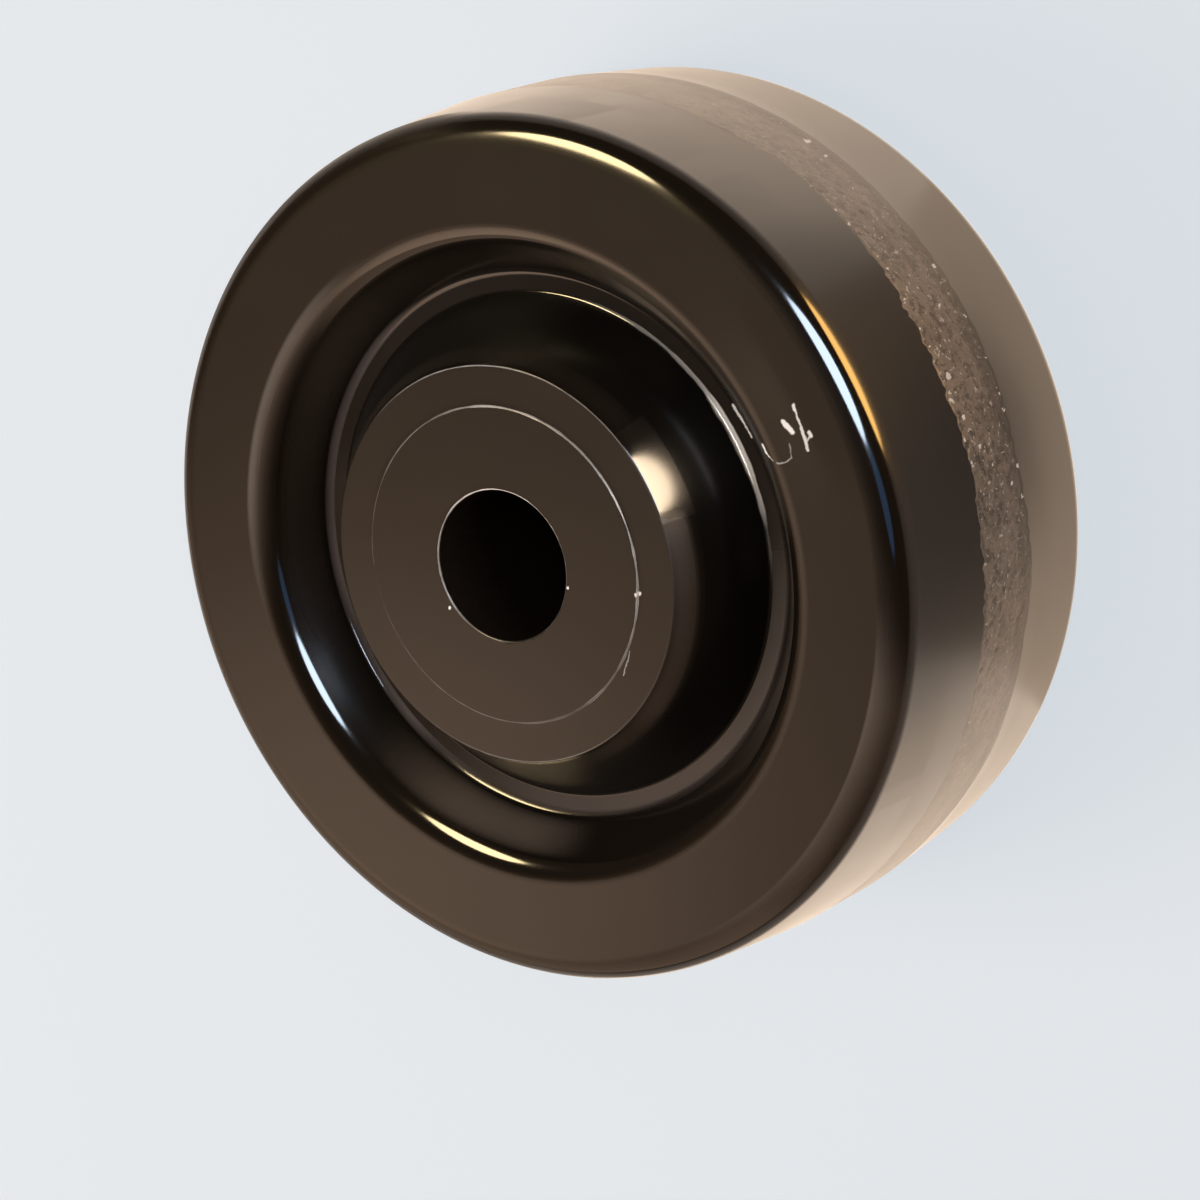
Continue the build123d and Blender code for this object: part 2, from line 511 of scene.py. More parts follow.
def finish_ring(values, share):
    """The ring at the bottom of the dish, or a share of its wear and painted light beside it."""
    worn_and_lit = around_values(RING_WEAR_AND_LIGHT, share)
    # Painted light: the worn ring is paler on its lit side
    values["cool"] = times(worn_and_lit, RING_PAINTED_LIGHT)
    values["satin"] = highest(values["satin"], worn_and_lit)
    rough = around_values(RING_ROUGHNESS, share)
    values["rough"] = highest(values["rough"], rough, times(worn_and_lit, SATIN_ROUGHNESS))


def finish_flank(values, depth):
    """The hub's flank at a depth below its edge, worn and painted paler near its top as a brown glow."""
    full, gone = FLANK_WEAR_AND_GLOW_DEPTH
    worn_and_lit = around_values(FLANK_WEAR_AND_GLOW, eased_off(depth - full, gone - full))
    values["satin"] = worn_and_lit
    # Painted glow: the worn top of the flank is paler
    values["pale"] = times(worn_and_lit, FLANK_PAINTED_GLOW)
    values["rough"] = highest(around_values(FLANK_ROUGHNESS), times(worn_and_lit, FLANK_WORN_ROUGHNESS))


def finish_at(stretch, row, seen):
    """Satin, roughness, paleness and edge lines around one ring of the section."""
    name = stretch.name
    values = {"satin": stretch.satin[row], "rough": stretch.rough[row]}
    if name == "tread_rear":
        values["pale"] = REAR_PALENESS
        values["rough"] = REAR_ROUGHNESS
    if not seen:
        return values
    last_row = len(stretch.points) - 1
    share = row / last_row
    height = stretch.points[row][1]
    first_line, second_line = LINES_BESIDE.get(name, (None, None))
    line = second_line if row > last_row / 2 else first_line
    if line:
        values["edge"] = around_values(EDGE_LINES[line].strength)
    if name == "tread":
        # Painted sheen: the front tread is paler towards its sides and towards the band
        values["pale"] = around_values(FRONT_DULLNESS_AND_SHEEN, FRONT_PAINTED_SHEEN * share)
        values["satin"] = around_values(FRONT_DULLNESS_AND_SHEEN)
    elif name == "tread_corner":
        finish_rounding(values, share, RIM_EDGE_REACH, RIM_EDGE_PALENESS, RIM_EDGE_ROUGHNESS)
    elif name == "rim_face_corner":
        finish_rounding(values, 1.0 - share, DISH_EDGE_REACH, DISH_EDGE_PALENESS, WALL_ROUGHNESS)
    elif name == "dish_wall":
        # Paler patches on the wall, the strongest a painted glow of reflected light
        values["pale"] = around_values(WALL_PALENESS_AND_GLOW, mid_run(share))
        values["rough"] = highest(values["rough"], around_values(WALL_ROUGHNESS))
    elif name == "dish_wall_corner":
        finish_ring(values, eased_off(height - WEB_HEIGHT, RING_FADE))
        # Painted highlight along the hollow at the foot of the wall
        values["cool"] = highest(values["cool"], around_values(WEB_FILLET_PAINTED_HIGHLIGHT, mid_run(share)))
        values["rough"] = highest(values["rough"], around_values(WALL_ROUGHNESS, share))
    elif name == "web_ring":
        finish_ring(values, 1.0)
    elif name == "web_ring_corner":
        finish_ring(values, 1.0 if row == last_row else 0.0)
    elif name in ("flank", "flank_deep"):
        finish_flank(values, HUB_SHOULDER - height)
    elif name == "flank_corner":
        # The hub's edge: worn, and painted paler as a brown glow
        worn_and_lit = around_values(FLANK_WEAR_AND_GLOW)
        values["satin"] = highest(values["satin"], worn_and_lit)
        values["pale"] = times(worn_and_lit, HUB_EDGE_PAINTED_GLOW)
        values["rough"] = highest(values["rough"], times(worn_and_lit, HUB_EDGE_WORN_ROUGHNESS))
    return values


# Mesh
class Skin:
    """The closed mesh as it is built: rings of vertices joined by faces."""

    def __init__(self):
        self.vertices = []
        self.values = {name: [] for name in ("satin", "rough", "pale", "cool", "edge", "pits", "fleck")}
        self.faces = []
        self.face_normals = []
        self.face_materials = []

    def ring(self, places, **values):
        """Adds a ring of vertices; each value is one number or one for every vertex."""
        first = len(self.vertices)
        self.vertices.extend(places)
        for name, kept in self.values.items():
            value = values.get(name, 0.0)
            kept.extend(value if isinstance(value, list) else [value] * len(places))
        return list(range(first, first + len(places)))

    def face(self, corners, normals, material):
        self.faces.append(corners)
        self.face_normals.append(normals)
        self.face_materials.append(material)

    def join(self, inner, outer, inner_normals, outer_normals, materials):
        """Faces between two rings with the same number of columns, with a material for each column."""
        n = len(inner)
        for k in range(n):
            m = (k + 1) % n
            corners = (inner[k], outer[k], outer[m], inner[m])
            normals = (inner_normals[k], outer_normals[k], outer_normals[m], inner_normals[m])
            self.face(corners, normals, materials[k])

    def widen(self, coarse, fine, profile_normal, towards_fine):
        """Glossy faces between a coarse ring and one with more columns."""
        coarse = list(zip(coarse, around(profile_normal, len(coarse))))
        fine = list(zip(fine, around(profile_normal, len(fine))))
        split = len(fine) // len(coarse)
        turn = split // 2
        for k, here in enumerate(coarse):
            following = coarse[(k + 1) % len(coarse)]
            strip = [fine[(k * split + j) % len(fine)] for j in range(split + 1)]
            for j in range(split):
                wedges = [[here if j <= turn else following, strip[j], strip[j + 1]]]
                if j == turn:
                    wedges.append([here, strip[j + 1], following])
                for wedge in wedges:
                    if not towards_fine:
                        wedge.reverse()
                    corners, normals = zip(*wedge)
                    self.face(corners, normals, GLOSS)


def around(profile_normal, count, lean=None):
    """One profile normal turned to every column, leaning towards the axle by a curve of degrees."""
    turned = []
    for azimuth in azimuths(count):
        nr, nz = profile_normal
        if lean:
            tilt = math.radians(smooth_between(lean, azimuth))
            nr, nz = nr * math.cos(tilt) - nz * math.sin(tilt), nz * math.cos(tilt) + nr * math.sin(tilt)
        turned.append(on_circle(azimuth, nr, nz))
    return turned


def normals_at(profile_normal, height):
    """Normals around a ring; the ring at the bottom of the upper dish leans."""
    flat = profile_normal[1] > 1.0 - TOLERANCE
    leaning = flat and abs(height - WEB_HEIGHT) < TOLERANCE
    return around(profile_normal, COLUMNS, RING_LEAN if leaning else None)


# Worn edges that lie at the end of a stretch of the upper half
WORN_EDGES = {"bore": "bore_wall_end", "bore_edge": "bore_mouth", "spot": "spot_rim"}


def worn_edge(stretches, position, row, seen):
    """The worn edge that a ring of either half lies on, if any."""
    if row < len(stretches[position].points) - 1:
        return None
    ending = stretches[position] if seen else stretches[position + 1]
    return WORN_EDGES.get(ending.name.replace("_rear", ""))


def edge_wander(edge, azimuth, radius, height):
    """How far a worn edge strays at an azimuth, inwards only: radius and height in millimetres."""
    place = on_circle(azimuth, radius, height)
    chip = max(0.0, patchy(place, CHIP_PATTERN) - CHIP_THRESHOLD)
    if edge == "bore_mouth":
        return BORE_MOUTH_CHIP * chip, 0.0
    if edge == "bore_wall_end":
        return 0.0, -math.copysign(BORE_WALL_CHIP, height) * chip
    towards = max(0.0, math.cos(math.radians(azimuth - SPOT_CHIP_AZIMUTH)))
    return -SPOT_RIM_CHIP * chip * (SPOT_CHIP_LEAST + (1.0 - SPOT_CHIP_LEAST) * towards), 0.0


def ring_places(radius, height, edge=None):
    places = []
    for azimuth in azimuths(COLUMNS):
        shift_r, shift_z = edge_wander(edge, signed(azimuth), radius, height) if edge else (0.0, 0.0)
        places.append(on_circle(azimuth, radius + shift_r, height + shift_z))
    return places


def tread_radius_at(height):
    """Radius of the drafted tread at a height, carried on into the band."""
    return min(WHEEL_RADIUS, WHEEL_RADIUS - run(abs(height) - BAND_EDGE, TREAD_DRAFT))


def band_edges(azimuth, rough):
    """Heights of the band's front and rear edge at an azimuth."""
    place = on_circle(azimuth, WHEEL_RADIUS, 0.0)
    least, more = BAND_RAGGEDNESS
    ragged = least + more * rough
    front = smooth_between(BAND_FRONT_EDGE, azimuth) + ragged * patchy(place, NICK_PATTERN)
    rear = smooth_between(BAND_REAR_EDGE, azimuth) + ragged * patchy(place, REAR_NICK_PATTERN)
    return front, rear


def band_share(height, front, rear):
    """Share of the band's roughness at a height; it fades out at both edges and towards the rear."""
    rear_fade = 1.0 - eased_off(height - rear, BAND_REAR_FADE)
    front_fade = 1.0 - eased_off(front - height, BAND_FRONT_FADE)
    forward = BAND_REAR_SHARE + (1.0 - BAND_REAR_SHARE) * (height - rear) / (front - rear)
    return rear_fade * front_fade * forward


def band_depth(place, rough):
    """How far the ground band lies below the turned surface, in millimetres."""
    pit = max(0.0, patchy(place, PIT_PATTERN) - PIT_THRESHOLD)
    grain = 0.5 + 0.5 * patchy(place, BAND_GRAIN_PATTERN)
    return BAND_SKIM + rough * (PIT_DEPTH * pit + BAND_GRAIN_DEPTH * grain)


def fleck_at(azimuth, height):
    """How much of a pale fleck lies at a place on the band."""
    most = 0.0
    for fleck_azimuth, fleck_height, size in BAND_FLECKS:
        across = math.radians(azimuth - fleck_azimuth) * WHEEL_RADIUS
        distance = math.hypot(across * FLECK_SLIMNESS, height - fleck_height)
        most = max(most, min(1.0, FLECK_CORE - FLECK_FADE * distance / size))
    return most


def surface_normals(table):
    """Outward normals of a closed band of points."""
    along = np.gradient(table, axis=0)
    across = np.roll(table, -1, axis=1) - np.roll(table, 1, axis=1)
    normals = np.cross(across, -along)
    outward = table * np.array([1.0, 1.0, 0.0])
    normals = normals * np.sign(np.sum(normals * outward, axis=2, keepdims=True))
    return normals / np.linalg.norm(normals, axis=2, keepdims=True)


def band_rings(skin):
    """Rings of the ground band from the last smooth one to the band's rear edge, with their normals."""
    count = COLUMNS * BAND_SPLIT
    table = np.zeros((BAND_ROWS + 1, count, 3))
    flecks = np.zeros((BAND_ROWS + 1, count))
    roughs = np.zeros((BAND_ROWS + 1, count))
    for k, azimuth in enumerate(azimuths(count)):
        most_rough = smooth_between(BAND_ROUGHNESS, azimuth)
        front, rear = band_edges(azimuth, most_rough)
        for row in range(BAND_ROWS + 1):
            height = front + (rear - front) * row / BAND_ROWS
            rough = most_rough * band_share(height, front, rear)
            depth = band_depth(on_circle(azimuth, WHEEL_RADIUS, height), rough)
            table[row, k] = on_circle(azimuth, tread_radius_at(height) - depth, height)
            flecks[row, k] = fleck_at(signed(azimuth), height)
            roughs[row, k] = rough
    normals = surface_normals(table)
    smooth_normals = around((1.0, 0.0), count)
    normals[0] = normals[-1] = np.array(smooth_normals)
    lead = []
    for x, y, height in table[0]:
        height = height + BAND_LEAD
        stretched = tread_radius_at(height) / math.hypot(x, y)
        lead.append((x * stretched, y * stretched, height))
    # The ring ahead of the band carries the front tread's painted sheen
    dull = around_values(FRONT_DULLNESS_AND_SHEEN, 1.0, count)
    lead_ring = skin.ring(lead, satin=dull, rough=TREAD_ROUGHNESS, pale=times(dull, FRONT_PAINTED_SHEEN))
    rings = [(lead_ring, smooth_normals)]
    for row in range(BAND_ROWS + 1):
        blend = max(0.0, row / BAND_ROWS - BAND_BLEND_START) / (1.0 - BAND_BLEND_START)
        pale = BAND_PALENESS + (REAR_PALENESS - BAND_PALENESS) * blend
        places = [tuple(place) for place in table[row]]
        values = {"fleck": list(flecks[row]), "pits": list(roughs[row]), "pale": pale}
        ring = skin.ring(places, satin=1.0, rough=TREAD_ROUGHNESS, **values)
        rings.append((ring, [tuple(normal) for normal in normals[row]]))
    return rings


def add_half(skin, stretches, seen, previous=None, closing=None):
    """Adds one half's rings, each joined to the one before; gives back its first and last.

    The seen half stops short of the band. The other goes on from a ring and its normal, and is closed.
    """
    first = None
    for position, s in enumerate(stretches):
        last_stretch = position == len(stretches) - 1
        last_row = len(s.points) - 1
        if previous:
            previous = (previous[0], s.normals[0])
        start_row = 1 if previous else 0
        stop_row = last_row if seen and last_stretch else last_row + 1
        for row in range(start_row, stop_row):
            radius, height = s.points[row]
            if closing and last_stretch and row == last_row:
                ring = closing
            else:
                edge = worn_edge(stretches, position, row, seen)
                ring = skin.ring(ring_places(radius, height, edge), **finish_at(s, row, seen))
            if previous:
                inner_normals = normals_at(previous[1], skin.vertices[previous[0][0]][2])
                outer_normals = normals_at(s.normals[row], height)
                skin.join(previous[0], ring, inner_normals, outer_normals, materials_around(s))
            else:
                first = ring
            previous = (ring, s.normals[row])
    return first, previous


def build_wheel():
    """The whole wheel as one closed mesh: the upper half, the ground band, then the lower half."""
    skin = Skin()
    lower = mirrored(half_section(REAR_DETAIL))
    # The lower half starts one row behind the band's edge
    for rows in (lower[0].points, lower[0].normals, lower[0].satin, lower[0].rough):
        del rows[0]
    first, (front, front_normal) = add_half(skin, half_section(1.0), True)
    bands = band_rings(skin)
    skin.widen(front, bands[0][0], front_normal, True)
    for (before, before_normals), (after, after_normals) in zip(bands, bands[1:]):
        skin.join(before, after, before_normals, after_normals, [BAND] * len(before))
    rear_normal = lower[0].normals[0]
    rear = skin.ring(ring_places(*lower[0].points[0]), **finish_at(lower[0], 0, False))
    skin.widen(rear, bands[-1][0], rear_normal, False)
    add_half(skin, lower, False, (rear, rear_normal), first)
    return skin


def in_scene(name, data):
    """A new object with that data, linked to the scene."""
    made = bpy.data.objects.new(name, data)
    bpy.context.scene.collection.objects.link(made)
    return made


def make_object(skin, materials):
    mesh = bpy.data.meshes.new("wheel")
    mesh.from_pydata([tuple(c * MM for c in v) for v in skin.vertices], [], skin.faces)
    order = list(materials)
    for name in order:
        mesh.materials.append(materials[name])
    mesh.polygons.foreach_set("material_index", [order.index(m) for m in skin.face_materials])
    for name, values in skin.values.items():
        layer = mesh.attributes.new(name, "FLOAT", "POINT")
        layer.data.foreach_set("value", values)
    mesh.polygons.foreach_set("use_smooth", [True] * len(mesh.polygons))
    mesh.normals_split_custom_set([normal for face in skin.face_normals for normal in face])
    mesh.update()
    return in_scene("wheel", mesh)


# Materials
GLOSS_COLOUR = (0.0052, 0.0042, 0.0034, 1.0)
SATIN_COLOUR = (0.0125, 0.0068, 0.0032, 1.0)
# Pale brown of the scuffed rear tread and paler roundings, and of the painted sheen and glows
PALE_COLOUR = (0.14, 0.106, 0.082, 1.0)
# Cool grey-violet of the painted light on the dish's ring and of the painted highlight in the hollow beside
# it
COOL_COLOUR = (0.125, 0.102, 0.098, 1.0)
# Pale of scratches, chips and specks, and of the painted highlights along edges
MARK_COLOUR = (0.95, 0.9, 0.84, 1.0)
BAND_COLOUR = (0.215, 0.17, 0.137, 1.0)
PIT_COLOUR = (0.014, 0.0095, 0.007, 1.0)
BORE_DARK = (0.013, 0.0095, 0.007, 1.0)
BORE_PALE = (0.028, 0.02, 0.0145, 1.0)
PHENOLIC_IOR = 1.58
SPECULAR = 0.5
# Specular of the flank's less reflective copy of the skin, a painted shade
SHADED_COPY_SPECULAR = 0.18

# Shader noise: size of the features in millimetres, detail and roughness
MOTTLE = (14.0, 3.0, 0.55)
MOULDED_GRAIN = (0.6, 2.0, 0.55)
SCRATCH_NOISE = (0.7, 2.0, 0.5)
LINE_NOISE = (4.0, 4.0, 0.5)
BAND_COARSE = (1.7, 4.0, 0.7)
BAND_FINE = (0.9, 3.0, 0.6)
BAND_MOTTLE = (7.0, 3.0, 0.55)
BORE_STREAKS = (1.5, 4.0, 0.6)

# The moulded skin: how far the mottle changes its colour and its roughness, and how deep its grain is
MOTTLE_STRENGTH = 0.4
MOTTLE_ROUGHNESS = 0.15
MOULDED_GRAIN_DEPTH = 0.004
MARK_ROUGHNESS = 0.2

# The ground band: where the noise makes pits, specks, mottle and broken chips
PIT_RANGE = (0.51, 0.41)
SPECK_RANGE = (0.60, 0.69)
BAND_MOTTLE_RANGE = (0.3, 0.7, 0.75, 1.25)
CHIP_RANGE = (0.45, 0.7)
PIT_STRENGTH = 0.9
SPECK_STRENGTH = 0.75
CHIP_BREAKUP = 2.2
BAND_LEAST_ROUGHNESS = 0.42
BAND_MORE_ROUGHNESS = 0.15
BAND_FINE_SHARE = 0.5
BAND_BUMP_DEPTH = 0.3

BORE_ROUGHNESS = 0.6
BORE_BUMP_DEPTH = 0.05


class Nodes:
    """Short names for building the node tree of a material or a world."""

    def __init__(self, owner):
        owner.use_nodes = True
        self.tree = owner.node_tree
        self.tree.nodes.clear()

    def add(self, kind, **settings):
        made = self.tree.nodes.new(kind)
        for name, value in settings.items():
            setattr(made, name, value)
        return made

    def feed(self, socket, value):
        """Links a socket, or sets it to a number, a vector or a colour."""
        if isinstance(value, bpy.types.NodeSocket):
            self.tree.links.new(value, socket)
        else:
            socket.default_value = value

    def math(self, operation, first, second=0.0, clamp=False):
        made = self.add("ShaderNodeMath", operation=operation, use_clamp=clamp)
        self.feed(made.inputs[0], first)
        self.feed(made.inputs[1], second)
        return made.outputs[0]

    def vector(self, operation, first, second):
        made = self.add("ShaderNodeVectorMath", operation=operation)
        self.feed(made.inputs[0], first)
        self.feed(made.inputs["Scale" if operation == "SCALE" else 1], second)
        return made.outputs["Value" if operation in ("DOT_PRODUCT", "DISTANCE") else 0]

    def product(self, first, second, clamp=False):
        return self.math("MULTIPLY", first, second, clamp)

    def sum(self, first, second, clamp=False):
        return self.math("ADD", first, second, clamp)

    def highest(self, first, second):
        return self.math("MAXIMUM", first, second)

    def ramp(self, source, low, high, to_low=0.0, to_high=1.0):
        made = self.add("ShaderNodeMapRange", interpolation_type="SMOOTHSTEP")
        self.feed(made.inputs["Value"], source)
        made.inputs["From Min"].default_value = low
        made.inputs["From Max"].default_value = high
        made.inputs["To Min"].default_value = to_low
        made.inputs["To Max"].default_value = to_high
        return made.outputs["Result"]

    def colours(self, factor, first, second):
        made = self.add("ShaderNodeMix", data_type="RGBA")
        self.feed(made.inputs["Factor"], factor)
        self.feed(made.inputs[6], first)
        self.feed(made.inputs[7], second)
        return made.outputs[2]

    def noise(self, place, size, detail, roughness, output="Fac"):
        """Noise with features of about that size, in millimetres."""
        made = self.add("ShaderNodeTexNoise")
        self.feed(made.inputs["Vector"], place)
        made.inputs["Scale"].default_value = 1.0 / (size * MM)
        made.inputs["Detail"].default_value = detail
        made.inputs["Roughness"].default_value = roughness
        return made.outputs[output]

    def attribute(self, name):
        return self.add("ShaderNodeAttribute", attribute_name=name).outputs["Fac"]

    def place(self):
        return self.add("ShaderNodeTexCoord").outputs["Object"]

    def bump(self, height, depth):
        """Bump whose height of 1 stands that many millimetres."""
        made = self.add("ShaderNodeBump")
        self.feed(made.inputs["Height"], height)
        made.inputs["Strength"].default_value = 1.0
        made.inputs["Distance"].default_value = depth * MM
        return made.outputs["Normal"]

    def surface(self, colour, roughness, normal, specular=SPECULAR):
        made = self.add("ShaderNodeBsdfPrincipled")
        self.feed(made.inputs["Base Color"], colour)
        self.feed(made.inputs["Roughness"], roughness)
        self.feed(made.inputs["Normal"], normal)
        made.inputs["IOR"].default_value = PHENOLIC_IOR
        made.inputs["Specular IOR Level"].default_value = specular
        output = self.add("ShaderNodeOutputMaterial")
        self.feed(output.inputs["Surface"], made.outputs["BSDF"])


def scratches(n, place):
    """Where the pale scratches and chips, and the painted highlight among them, lie, from 0 to 1."""
    wobble = n.vector("SUBTRACT", n.noise(place, *SCRATCH_NOISE, "Color"), (0.5, 0.5, 0.5))
    moved = n.vector("ADD", place, n.vector("SCALE", wobble, SCRATCH_WOBBLE * MM))
    most = 0.0
    for start, end, width, strength in SCRATCHES:
        first = Vector(on_circle(*start)) * MM
        along = Vector(on_circle(*end)) * MM - first
        offset = n.vector("SUBTRACT", moved, first)
        share = n.sum(n.vector("DOT_PRODUCT", offset, along / along.length_squared), 0.0, clamp=True)
        away = n.vector("DISTANCE", offset, n.vector("SCALE", along, share))
        most = n.highest(most, n.ramp(away, width * MM, SCRATCH_CORE * width * MM, 0.0, strength))
    return most


def edge_lines(n, place):
    """Where the pale chipped edges and their painted highlights lie, from 0 to 1."""
    parts = n.add("ShaderNodeSeparateXYZ")
    n.feed(parts.inputs[0], place)
    x, y = parts.outputs[0], parts.outputs[1]
    radius = n.math("SQRT", n.sum(n.product(x, x), n.product(y, y)))
    wander = n.math("SUBTRACT", n.noise(place, *LINE_NOISE), 0.5)
    strength = n.attribute("edge")
    most = 0.0
    for line in EDGE_LINES.values():
        thinner = n.sum(n.product(strength, line.taper), 1.0 - line.taper)
        offset = n.math("ABSOLUTE", n.math("SUBTRACT", radius, line.radius * MM))
        offset = n.sum(offset, n.product(wander, line.raggedness * MM * 2))
        width = line.half_width * MM
        most = n.highest(most, n.ramp(n.math("DIVIDE", offset, thinner), width, LINE_CORE * width))
    return n.product(most, strength)


def moulded_material(name, specular):
    """Glossy moulded skin, satin where faces are flat and worn."""
    material = bpy.data.materials.new(name)
    n = Nodes(material)
    place = n.place()
    satin = n.attribute("satin")
    mottle = n.product(n.math("SUBTRACT", n.noise(place, *MOTTLE), 0.5), MOTTLE_STRENGTH)
    mottled = n.sum(mottle, 1.0)
    colour = n.colours(n.product(satin, mottled, clamp=True), GLOSS_COLOUR, SATIN_COLOUR)
    # Pale and cool tones: scuffs and wear, and painted sheen, glow, light and highlights
    colour = n.colours(n.product(n.attribute("pale"), mottled), colour, PALE_COLOUR)
    colour = n.colours(n.product(n.attribute("cool"), mottled), colour, COOL_COLOUR)
    # Scratches and chips, with painted highlights along the edges and in the dish's hollow
    marks = n.highest(scratches(n, place), edge_lines(n, place))
    colour = n.colours(marks, colour, MARK_COLOUR)
    roughness = n.sum(n.attribute("rough"), n.product(n.product(mottle, satin), MOTTLE_ROUGHNESS))
    roughness = n.highest(roughness, n.product(marks, MARK_ROUGHNESS))
    grain = n.product(n.noise(place, *MOULDED_GRAIN), satin)
    n.surface(colour, roughness, n.bump(grain, MOULDED_GRAIN_DEPTH), specular)
    return material


def band_material():
    """Ground parting band: rough, with pale and dark specks."""
    material = bpy.data.materials.new("band")
    n = Nodes(material)
    place = n.place()
    rough = n.attribute("pits")
    coarse = n.noise(place, *BAND_COARSE)
    fine = n.noise(place, *BAND_FINE)
    mottle = n.ramp(n.noise(place, *BAND_MOTTLE), *BAND_MOTTLE_RANGE)
    colour = n.colours(n.product(n.attribute("pale"), mottle), SATIN_COLOUR, BAND_COLOUR)
    pits = n.product(n.product(n.ramp(coarse, *PIT_RANGE), rough), PIT_STRENGTH)
    colour = n.colours(pits, colour, PIT_COLOUR)
    specks = n.product(n.ramp(fine, *SPECK_RANGE), n.product(rough, SPECK_STRENGTH))
    colour = n.colours(specks, colour, MARK_COLOUR)
    chips = n.sum(n.attribute("fleck"), n.product(n.math("SUBTRACT", fine, 0.5), CHIP_BREAKUP))
    colour = n.colours(n.ramp(chips, *CHIP_RANGE), colour, MARK_COLOUR)
    roughness = n.sum(n.product(rough, BAND_MORE_ROUGHNESS), BAND_LEAST_ROUGHNESS)
    height = n.product(n.sum(coarse, n.product(fine, BAND_FINE_SHARE)), rough)
    n.surface(colour, roughness, n.bump(height, BAND_BUMP_DEPTH))
    return material


def bore_material():
    """Drilled bore wall, without gloss."""
    material = bpy.data.materials.new("bore")
    n = Nodes(material)
    streaks = n.noise(n.place(), *BORE_STREAKS)
    colour = n.colours(streaks, BORE_DARK, BORE_PALE)
    n.surface(colour, BORE_ROUGHNESS, n.bump(streaks, BORE_BUMP_DEPTH), specular=0.0)
    return material


# Stage: the floor's colour where it is lit or mirrored, then the one it shows the camera, and its share
FLOOR_COLOUR = (0.62, 0.54, 0.47, 1.0)
FLOOR_SEEN = (0.85, 0.93, 1.0, 1.0)
FLOOR_OWN_SHARE = 0.72
FLOOR_HALF = 8.0
# The room
ROOM_BRIGHT_SIDE = (-0.62, -0.74, 0.1)
ROOM_BRIGHT_RANGE = (0.6, 0.88)
ROOM_DARK = (0.1, 0.061, 0.035, 1.0)
ROOM_BRIGHT = (0.85, 0.57, 0.39, 1.0)
ROOM_SEEN = (0.93, 0.95, 0.98, 1.0)


def floor():
    """A plain pale floor under the hub's end."""
    mesh = bpy.data.meshes.new("floor")
    level = -HUB_TOP * MM
    corners = [(x * FLOOR_HALF, y * FLOOR_HALF, level) for x, y in ((-1, -1), (1, -1), (1, 1), (-1, 1))]
    mesh.from_pydata(corners, [], [(0, 1, 2, 3)])
    made = in_scene("floor", mesh)
    material = bpy.data.materials.new("floor")
    n = Nodes(material)
    lit = n.add("ShaderNodeBsdfDiffuse")
    lit.inputs["Color"].default_value = FLOOR_COLOUR
    own = n.add("ShaderNodeEmission")
    own.inputs["Color"].default_value = FLOOR_SEEN
    rays = n.add("ShaderNodeLightPath")
    mix = n.add("ShaderNodeMixShader")
    n.feed(mix.inputs[0], n.product(rays.outputs["Is Camera Ray"], FLOOR_OWN_SHARE))
    n.feed(mix.inputs[1], lit.outputs[0])
    n.feed(mix.inputs[2], own.outputs[0])
    output = n.add("ShaderNodeOutputMaterial")
    n.feed(output.inputs["Surface"], mix.outputs[0])
    mesh.materials.append(material)


def world():
    """Dim warm room light, brighter low on one side; the camera sees a pale backdrop."""
    made = bpy.data.worlds.new("room")
    bpy.context.scene.world = made
    n = Nodes(made)
    direction = n.add("ShaderNodeTexCoord").outputs["Generated"]
    along = n.vector("DOT_PRODUCT", direction, Vector(ROOM_BRIGHT_SIDE).normalized())
    rays = n.add("ShaderNodeLightPath")
    colour = n.colours(n.ramp(along, *ROOM_BRIGHT_RANGE), ROOM_DARK, ROOM_BRIGHT)
    colour = n.colours(rays.outputs["Is Camera Ray"], colour, ROOM_SEEN)
    background = n.add("ShaderNodeBackground")
    n.feed(background.inputs["Color"], colour)
    output = n.add("ShaderNodeOutputWorld")
    n.feed(output.inputs["Surface"], background.outputs[0])


def lamp(name, place, size, radiance, mirrored, target=(0, 0, 0), roll=0.0, shape="ELLIPSE"):
    """A soft lamp that is only mirrored by the wheel or only lights it; radiance is its brightness."""
    width, height = size
    data = bpy.data.lights.new(name, "AREA")
    data.shape = shape
    data.size = width * MM
    data.size_y = height * MM
    area = width * height * MM * MM * (math.pi / 4 if shape == "ELLIPSE" else 1.0)
    brightest = max(radiance)
    data.color = [c / brightest for c in radiance]
    data.energy = brightest * area * math.pi
    made = in_scene(name, data)
    made.location = [c * MM for c in place]
    direction = Vector(target) * MM - made.location
    made.rotation_mode = "QUATERNION"
    made.rotation_quaternion = direction.to_track_quat("-Z", "Y") @ Quaternion((0, 0, 1), math.radians(roll))
    made.visible_camera = False
    made.visible_diffuse = not mirrored
    made.visible_glossy = mirrored


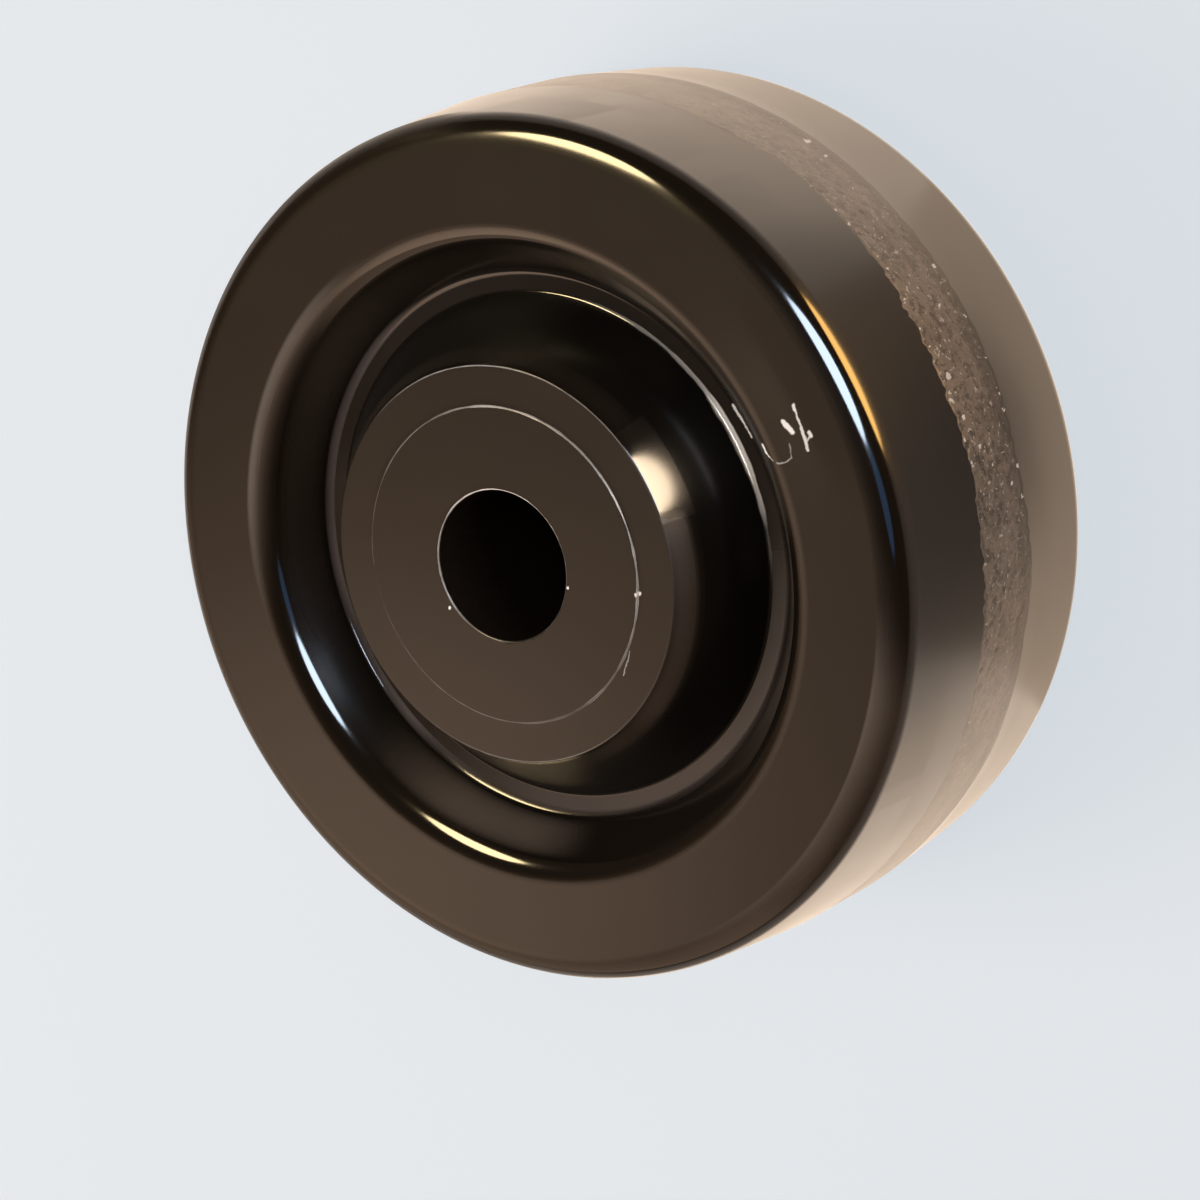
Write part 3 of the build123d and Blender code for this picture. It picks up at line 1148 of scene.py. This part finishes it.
def camera():
    """The photograph's camera, from the wheel's place and axle in the camera's axes."""
    axle = Vector(AXLE_TO_REAR).normalized()
    across = Vector((0.0, 1.0, 0.0)).cross(axle).normalized()
    down = axle.cross(across)
    centre = Vector(HUB_END_CENTRE) + axle * HUB_TOP
    place = Vector((-centre.dot(across), centre.dot(down), centre.dot(axle))) * MM
    right = Vector((across.x, -down.x, -axle.x))
    up = Vector((-across.y, down.y, axle.y))
    back = Vector((-across.z, down.z, axle.z))
    data = bpy.data.cameras.new("photo_camera")
    data.sensor_width = SENSOR_WIDTH
    data.lens = FOCAL_OVER_WIDTH * SENSOR_WIDTH
    data.clip_start = CLIP_START
    made = in_scene("photo_camera", data)
    turn = Matrix((right, up, back)).transposed().to_4x4()
    made.matrix_world = Matrix.Translation(place) @ turn
    bpy.context.scene.camera = made


camera()
materials = {
    GLOSS: moulded_material("moulded", SPECULAR),
    SHADED_COPY: moulded_material("deep_flank", SHADED_COPY_SPECULAR),
    BAND: band_material(),
    BORE: bore_material(),
}
wheel = make_object(build_wheel(), materials)
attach(wheel, "root")
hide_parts("phenolic_wheel")

floor()
world()
# Lamps by name, place, size and brightness; low ones lie just above the floor and face up
UP = 100
LOW = 1 - HUB_TOP
lamp("blue_highlight", (350, 209, 374), (262, 250), (16, 19, 23), True)
lamp("blue_edge", (430, 0, 345), (190, 170), (0.2, 0.5, 1.0), True)
lamp("gold_highlight", (-179, 482, 476), (320, 270), (27, 21, 11.5), True)
lamp("warm_highlight", (58.1, 26.8, 43.2), (26, 9), (25, 19.5, 13.6), True, (32, 13.8, 43.2))
lamp("amber_highlight", (124, 59, 23), (66, 28), (20, 11.0, 3.0), True, (68, 30, 23))
lamp("face_glow", (-170, -115, 195), (150, 150), (1.52, 1.07, 0.76), True)
lamp("under_glow", (-11, 0, LOW), (193, 264), (1.47, 1.12, 0.82), True, (-11, 0, UP), -8.0, "RECTANGLE")
lamp("left_glow", (52, -77, LOW), (160, 66), (0.85, 0.75, 0.65), True, (52, -77, UP))
for size in ((240, 140), (195, 100), (150, 60)):
    lamp("right_glow", (-10, 114, LOW), size, (0.42, 0.38, 0.345), True, (-10, 114, UP))
lamp("soft_key", (-588, -125, 601), (500, 500), (7.8, 7.8, 7.8), False)
lamp("overhead_key", (-300, 100, 900), (700, 700), (1.6, 1.6, 1.6), False)
lamp("front_fill", (900, 275, 330), (500, 500), (2.8, 2.8, 2.8), False)
lamp("high_fill", (330, 190, 560), (300, 300), (2.2, 2.2, 2.2), False)
bpy.context.scene.view_settings.view_transform = "Standard"
